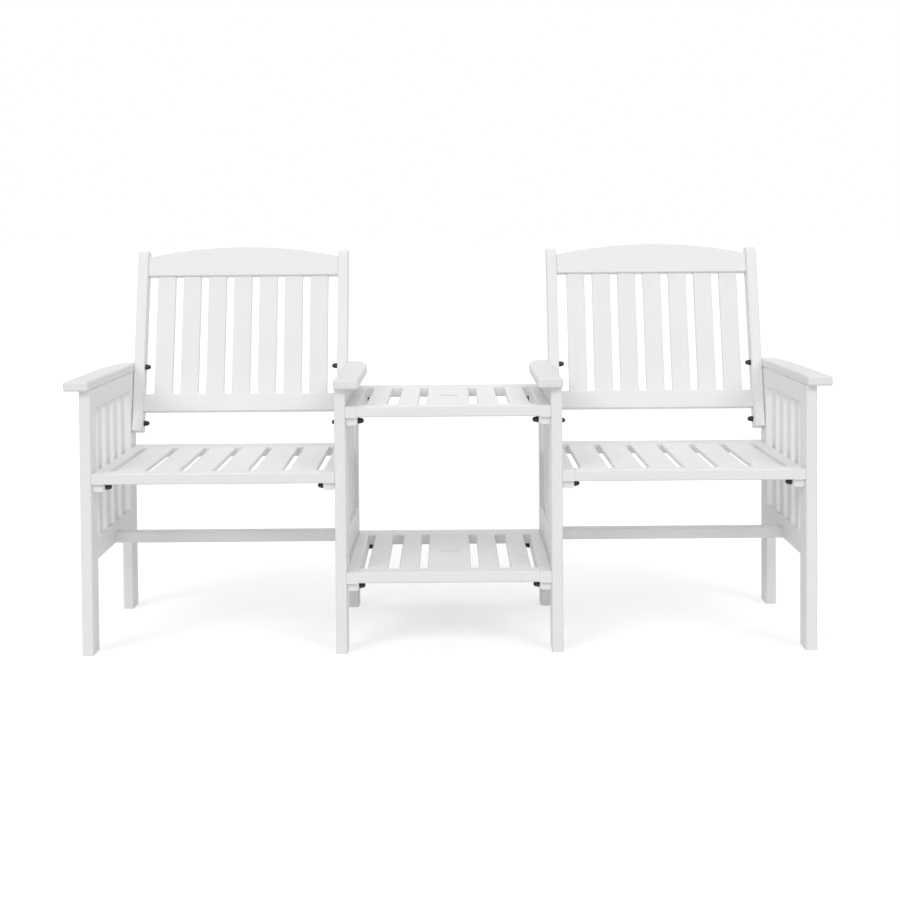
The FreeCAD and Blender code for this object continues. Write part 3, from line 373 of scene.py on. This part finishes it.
def pieces_of(node):
    """Where each piece of a CAD node of fasteners starts, which way along X, and its length.

    A piece starts at its broad end, the head of a bolt or the flat of a nut.
    """
    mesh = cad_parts[node].data.copy()
    loose = bpy.data.objects.new("loose_" + node, mesh)
    bpy.context.scene.collection.objects.link(loose)
    bpy.ops.object.select_all(action="DESELECT")
    loose.select_set(True)
    bpy.context.view_layer.objects.active = loose
    bpy.ops.object.mode_set(mode="EDIT")
    bpy.ops.mesh.select_all(action="SELECT")
    bpy.ops.mesh.remove_doubles(threshold=SEAM)
    bpy.ops.mesh.separate(type="LOOSE")
    bpy.ops.object.mode_set(mode="OBJECT")
    found = []
    for piece in list(bpy.context.selected_objects):
        corners = [vertex.co for vertex in piece.data.vertices]
        low = Vector(min(corner[axis] for corner in corners) for axis in range(3))
        high = Vector(max(corner[axis] for corner in corners) for axis in range(3))
        middle = (low + high) / 2
        away = [(corner - middle).yz.length for corner in corners]
        rim = max(away) * RIM_SHARE
        broad = [corner.x for corner, distance in zip(corners, away) if distance > rim]
        direction = 1 if sum(broad) / len(broad) < middle.x else -1
        start = low.x if direction == 1 else high.x
        found.append((Vector((start, middle.y, middle.z)), direction, high.x - low.x))
        bpy.data.objects.remove(piece)
    return sorted(found, key=lambda place: tuple(place[0]))


def set_in_place(model, name, place, direction, node):
    """Copy a piece modelled on +Z and lay it along X at its place in the wood."""
    made = bpy.data.objects.new(name, model.data.copy())
    bpy.context.scene.collection.objects.link(made)
    turn = Matrix.Rotation(direction * math.pi / 2, 4, "Y")
    made.data.transform(Matrix.Translation(place) @ turn)
    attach(made, "bench")
    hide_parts(node)


NUT_FLAT = 0.0065
NUT_BASE = 0.006
NUT_CORNER = NUT_FLAT / math.cos(math.pi / 6)
NUT_TALL = 0.014
NUT_DOME = 0.0060
NUT_DOME_FOOT = 0.003
NUT_EDGE = 0.0006
ROUND_SIDES = 32
bpy.ops.object.select_all(action="DESELECT")
bpy.ops.mesh.primitive_cylinder_add(
    vertices=6, radius=NUT_CORNER, depth=NUT_BASE, location=(0, 0, NUT_BASE / 2)
)
nut = bpy.context.object
bpy.ops.object.transform_apply(location=True, rotation=True, scale=True)
ground = nut.modifiers.new("ground_corners", "BEVEL")
ground.width = NUT_EDGE
ground.segments = 3
bpy.ops.object.modifier_apply(modifier=ground.name)
bpy.ops.object.select_all(action="DESELECT")
bpy.ops.mesh.primitive_uv_sphere_add(
    segments=ROUND_SIDES,
    ring_count=ROUND_SIDES // 2,
    radius=NUT_DOME,
    location=(0, 0, NUT_TALL - NUT_DOME),
)
bpy.ops.object.transform_apply(location=True, rotation=True, scale=True)
bpy.ops.object.mode_set(mode="EDIT")
bpy.ops.mesh.select_all(action="SELECT")
bpy.ops.mesh.bisect(
    plane_co=(0, 0, NUT_TALL - NUT_DOME), plane_no=(0, 0, 1), clear_inner=True, use_fill=False
)
bpy.ops.mesh.select_mode(type="EDGE")
bpy.ops.mesh.select_all(action="DESELECT")
bpy.ops.mesh.select_non_manifold()
bpy.ops.mesh.extrude_region_move(
    TRANSFORM_OT_translate={"value": (0, 0, NUT_DOME - NUT_TALL + NUT_DOME_FOOT)}
)
bpy.ops.mesh.edge_face_add()
bpy.ops.mesh.select_all(action="SELECT")
bpy.ops.mesh.normals_make_consistent(inside=False)
bpy.ops.object.mode_set(mode="OBJECT")
nut.select_set(True)
bpy.context.view_layer.objects.active = nut
bpy.ops.object.join()
bpy.ops.object.shade_smooth_by_angle(angle=SMOOTH_BELOW)
nut.data.materials.append(black_coat)
for number, (place, direction, _) in enumerate(pieces_of("cap_nuts"), start=1):
    set_in_place(nut, f"black_cap_nut_{number:02}", place, direction, "cap_nuts")
bpy.data.objects.remove(nut)

# Each kind has the radius of its shank, of its head and of its hexagonal key socket. Studs have
# neither a head nor a socket.
SHANK_PLAY = 0.00005
HEAD_TALL = 0.002
KEY_DEPTH = 0.0025
TURNED_EDGE = 0.0003
for node, name, shank, head, key in (
    ("panel_bolts", "bearer_bolt", 0.004, 0.0070, 0.0029),
    ("back_bolts", "back_foot_bolt", 0.004, 0.0070, 0.0029),
    ("arm_bolts", "armrest_stud", 0.004, 0.004, 0.0),
    ("stretcher_screws", "stretcher_screw", 0.003, 0.0056, 0.0023),
):
    places = pieces_of(node)
    shank -= SHANK_PLAY
    bpy.ops.object.select_all(action="DESELECT")
    bpy.ops.mesh.primitive_cylinder_add(
        vertices=ROUND_SIDES, radius=head, depth=HEAD_TALL, location=(0, 0, HEAD_TALL / 2)
    )
    bolt = bpy.context.object
    bpy.ops.object.transform_apply(location=True, rotation=True, scale=True)
    pick_ends(bolt, HEAD_TALL)
    bpy.ops.mesh.inset(thickness=head - shank)
    bpy.ops.mesh.extrude_region_move(
        TRANSFORM_OT_translate={"value": (0, 0, places[0][2] - HEAD_TALL)}
    )
    bpy.ops.object.mode_set(mode="OBJECT")
    turned = bolt.modifiers.new("turned_edges", "BEVEL")
    turned.width = TURNED_EDGE
    turned.segments = 2
    turned.limit_method = "ANGLE"
    turned.angle_limit = CORNER_FROM
    bpy.ops.object.modifier_apply(modifier=turned.name)
    if key:
        bpy.ops.object.select_all(action="DESELECT")
        bpy.ops.mesh.primitive_cylinder_add(vertices=6, radius=key, depth=2 * KEY_DEPTH)
        punch = bpy.context.object
        bpy.ops.object.select_all(action="DESELECT")
        bolt.select_set(True)
        bpy.context.view_layer.objects.active = bolt
        socket = bolt.modifiers.new("key_socket", "BOOLEAN")
        socket.operation = "DIFFERENCE"
        socket.object = punch
        bpy.ops.object.modifier_apply(modifier=socket.name)
        bpy.data.objects.remove(punch)
    bpy.ops.object.shade_smooth_by_angle(angle=SMOOTH_BELOW)
    bolt.data.materials.clear()
    bolt.data.materials.append(zinc_coat)
    for number, (place, direction, _) in enumerate(places, start=1):
        set_in_place(bolt, f"{name}_{number:02}", place, direction, node)
    bpy.data.objects.remove(bolt)

# Studio. A white floor that runs to the horizon under a dim white sky, with a soft light high in
# front on each side, one overhead, and a faint one behind that reaches the shelf.

FLOOR_SIZE = 400
FLOOR_WHITE = (0.8, 0.8, 0.8, 1)
FLOOR_GLOW = 0.42
SKY_LIGHT = 0.42
LAMP_DISTANCE = 4
bpy.ops.object.select_all(action="DESELECT")
bpy.ops.mesh.primitive_plane_add(size=FLOOR_SIZE)
floor = bpy.context.object
floor.name = "studio_floor"


def seen_or_mirrored(start):
    """1 for rays from the camera, off a shiny surface or through a clear one, else 0."""
    camera_ray = start.node("ShaderNodeLightPath", out="Is Camera Ray")
    glossy_ray = start.node("ShaderNodeLightPath", out="Is Glossy Ray")
    clear_ray = start.node("ShaderNodeLightPath", out="Is Transmission Ray")
    return start.maths("MAXIMUM", start.maths("MAXIMUM", camera_ray, glossy_ray), clear_ray)


floor_paint = bpy.data.materials.new("studio_white")
floor_paint.use_nodes = True
start = Socket(floor_paint.node_tree)
matt = start.node("ShaderNodeBsdfDiffuse", {}, {"Color": FLOOR_WHITE})
glow = start.node("ShaderNodeEmission", {}, {"Strength": FLOOR_GLOW * seen_or_mirrored(start)})
both = start.node("ShaderNodeAddShader", {}, {0: matt, 1: glow})
output = floor_paint.node_tree.nodes["Material Output"]
floor_paint.node_tree.links.new(both.output, output.inputs["Surface"])
floor.data.materials.append(floor_paint)

world = bpy.data.worlds.new("studio_sky")
bpy.context.scene.world = world
world.use_nodes = True
start = Socket(world.node_tree)
background = world.node_tree.nodes["Background"]
background.inputs["Color"].default_value = (1, 1, 1, 1)
strength = SKY_LIGHT + (1 - SKY_LIGHT) * seen_or_mirrored(start)
world.node_tree.links.new(strength.output, background.inputs["Strength"])

for name, towards, spread, power in (
    ("left_light", (-0.7, -1.0, 0.8), 30, 0.84),
    ("right_light", (0.7, -1.0, 0.8), 30, 0.74),
    ("top_light", (0.0, 0.1, 1.0), 50, 0.55),
    ("back_light", (0.0, 1.0, 0.6), 40, 0.15),
):
    bpy.ops.object.light_add(type="SUN", location=Vector(towards) * LAMP_DISTANCE)
    lamp = bpy.context.object
    lamp.name = name
    lamp.data.angle = math.radians(spread)
    lamp.data.energy = power
    lamp.rotation_euler = Vector(towards).to_track_quat("Z", "Y").to_euler()

# Camera. It stands in front of the table at chest height and looks almost level. Its picture is
# shifted down, as with a view camera, so that the legs stay upright.

CAMERA_PLACE = Vector((0.0064, -3.7677, 0.9280))
CAMERA_LENS = 62.96
CAMERA_SENSOR = 36
CAMERA_SHIFT = -0.18
PITCH = 0.03296
ROLL = -0.0078
ahead = Vector((0, math.cos(PITCH), -math.sin(PITCH)))
level = Vector((1, 0, 0))
above = level.cross(ahead)
right = math.cos(ROLL) * level + math.sin(ROLL) * above
up = math.cos(ROLL) * above - math.sin(ROLL) * level
turn = Matrix((right, up, -ahead)).transposed()
bpy.ops.object.camera_add(location=CAMERA_PLACE, rotation=turn.to_euler())
camera = bpy.context.object
camera.data.lens = CAMERA_LENS
camera.data.sensor_width = CAMERA_SENSOR
camera.data.shift_y = CAMERA_SHIFT
bpy.context.scene.camera = camera

bpy.context.scene.view_settings.view_transform = "Standard"
